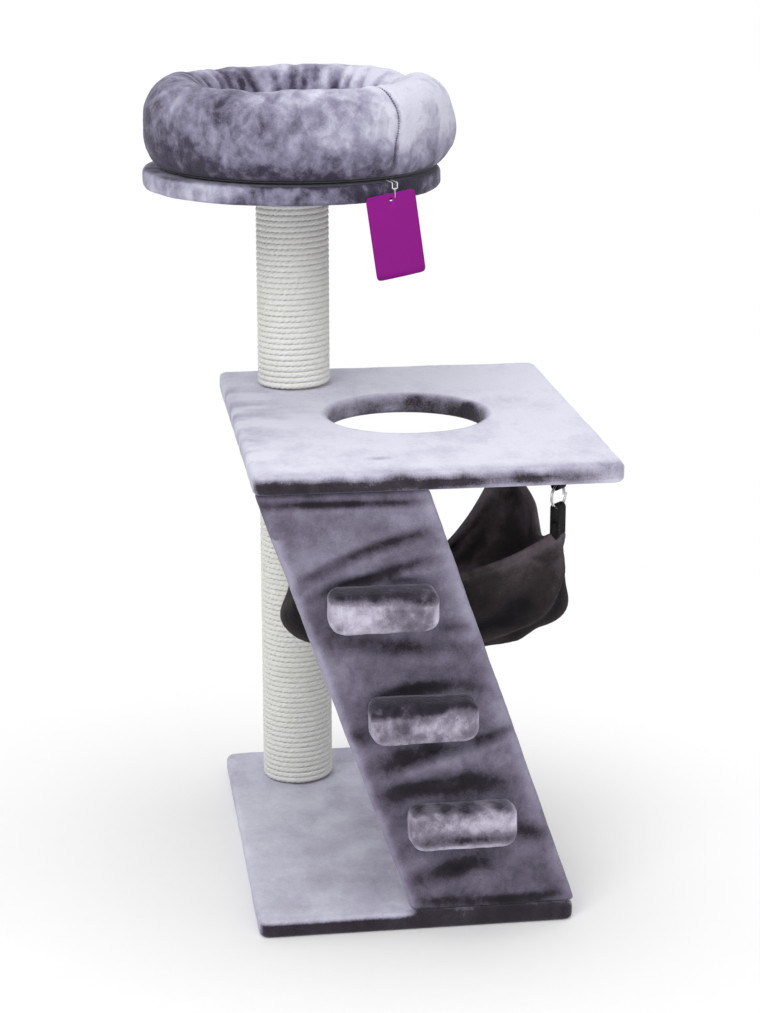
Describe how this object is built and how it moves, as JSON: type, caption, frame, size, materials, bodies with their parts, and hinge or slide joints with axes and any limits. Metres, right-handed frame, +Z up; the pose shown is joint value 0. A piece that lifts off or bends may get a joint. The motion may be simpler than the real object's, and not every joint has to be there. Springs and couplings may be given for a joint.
{
  "type": "cat tree",
  "caption": "Free-standing cat tree with a plush base and platform, rope-wound posts, a slanting climbing board with steps, a hanging hammock and a round bed on top.",
  "frame": {"origin": "middle of the base's underside", "axes": "+Z up, +X to the right and +Y to the back, seen from the climbing board's side"},
  "size_m": [0.4924, 0.64, 0.904],
  "materials": {
    "plush": "short brushed plush",
    "board": "raw particle board",
    "wood": "sawn softwood",
    "tube": "wound cardboard",
    "sisal": "twisted sisal rope",
    "hammock_plush": "dark plush",
    "webbing": "woven polypropylene",
    "ring_steel": "nickel plated",
    "zinc_steel": "zinc plated",
    "stuffing": "polyester fibre",
    "backing_cloth": "non-woven backing",
    "hook_loop": "hook and loop",
    "card": "printed card",
    "clear_plastic": "moulded",
    "thread": "white thread"
  },
  "bodies": {
    "frame": {"base_board": "board", "base_cover": "plush", "base_liner": "backing_cloth", "bracket_bolts": "zinc_steel", "bracket_bottom_left": "zinc_steel", "bracket_bottom_right": "zinc_steel", "bracket_nuts": "zinc_steel", "bracket_screws": "zinc_steel", "bracket_top_left": "zinc_steel", "bracket_top_right": "zinc_steel", "disc_board": "board", "disc_cover": "plush", "hanger_screws": "zinc_steel", "hanger_tabs": "webbing", "hook_patches": "hook_loop", "lower_post_foot_plug": "wood", "lower_post_head_plug": "wood", "lower_post_rope": "sisal", "lower_post_rope_sleeve": "sisal", "lower_post_tube": "tube", "platform_board": "board", "platform_cover": "plush", "platform_stud": "zinc_steel", "post_bolts": "zinc_steel", "post_washers": "zinc_steel", "ramp_board": "board", "ramp_cover": "plush", "step_block_lower": "wood", "step_block_middle": "wood", "step_block_upper": "wood", "step_cover_lower": "plush", "step_cover_middle": "plush", "step_cover_upper": "plush", "step_screws": "zinc_steel", "tag_thread": "thread", "threaded_inserts": "zinc_steel", "upper_post_foot_plug": "wood", "upper_post_head_plug": "wood", "upper_post_rope": "sisal", "upper_post_rope_sleeve": "sisal", "upper_post_tube": "tube"},
    "bed": {"bolster_cover": "plush", "bolster_filling": "stuffing", "bed_pad": "plush", "bed_bottom_cloth": "backing_cloth", "loop_patches": "hook_loop"},
    "hammock": {"hammock_cloth": "hammock_plush", "strap_front_left": "webbing", "strap_front_right": "webbing", "strap_rear_left": "webbing", "strap_rear_right": "webbing"},
    "tag": {"tag_card": "card", "tag_loop": "clear_plastic"},
    "front_left_ring": {"ring_front_left": "ring_steel"},
    "front_right_ring": {"ring_front_right": "ring_steel"},
    "rear_left_ring": {"ring_rear_left": "ring_steel"},
    "rear_right_ring": {"ring_rear_right": "ring_steel"}
  },
  "joints": [
    {"name": "bed_lift", "type": "slide", "parent": "frame", "child": "bed", "axis": [0, 0, 1], "range_m": [0, 0.12]},
    {"name": "front_right_ring_swing", "type": "hinge", "parent": "frame", "child": "front_right_ring", "pos_m": [0.16, -0.198, 0.496], "axis": [0.7071, 0.7071, 0], "range_deg": [-25, 25]},
    {"name": "front_left_ring_swing", "type": "hinge", "parent": "frame", "child": "front_left_ring", "pos_m": [-0.115, -0.198, 0.496], "axis": [0.7071, 0.7071, 0], "range_deg": [-25, 25]},
    {"name": "rear_left_ring_swing", "type": "hinge", "parent": "frame", "child": "rear_left_ring", "pos_m": [-0.115, 0.102, 0.496], "axis": [0.7071, 0.7071, 0], "range_deg": [-25, 25]},
    {"name": "rear_right_ring_swing", "type": "hinge", "parent": "frame", "child": "rear_right_ring", "pos_m": [0.16, 0.102, 0.496], "axis": [0.7071, 0.7071, 0], "range_deg": [-25, 25]},
    {"name": "hammock_sway", "type": "hinge", "parent": "front_right_ring", "child": "hammock", "pos_m": [0.16, -0.198, 0.4698], "axis": [0.7071, 0.7071, 0], "range_deg": [-25, 25]},
    {"name": "tag_swing", "type": "hinge", "parent": "frame", "child": "tag", "pos_m": [0.01028, 0.01543, 0.7896], "axis": [-0.9781, -0.2079, 0], "range_deg": [0, 80]}
  ],
  "couplings": [
    {"joint": "front_right_ring_swing", "follows": "hammock_sway", "ratio": -1},
    {"joint": "front_left_ring_swing", "follows": "hammock_sway", "ratio": -1},
    {"joint": "rear_left_ring_swing", "follows": "hammock_sway", "ratio": -1},
    {"joint": "rear_right_ring_swing", "follows": "hammock_sway", "ratio": -1}
  ]
}
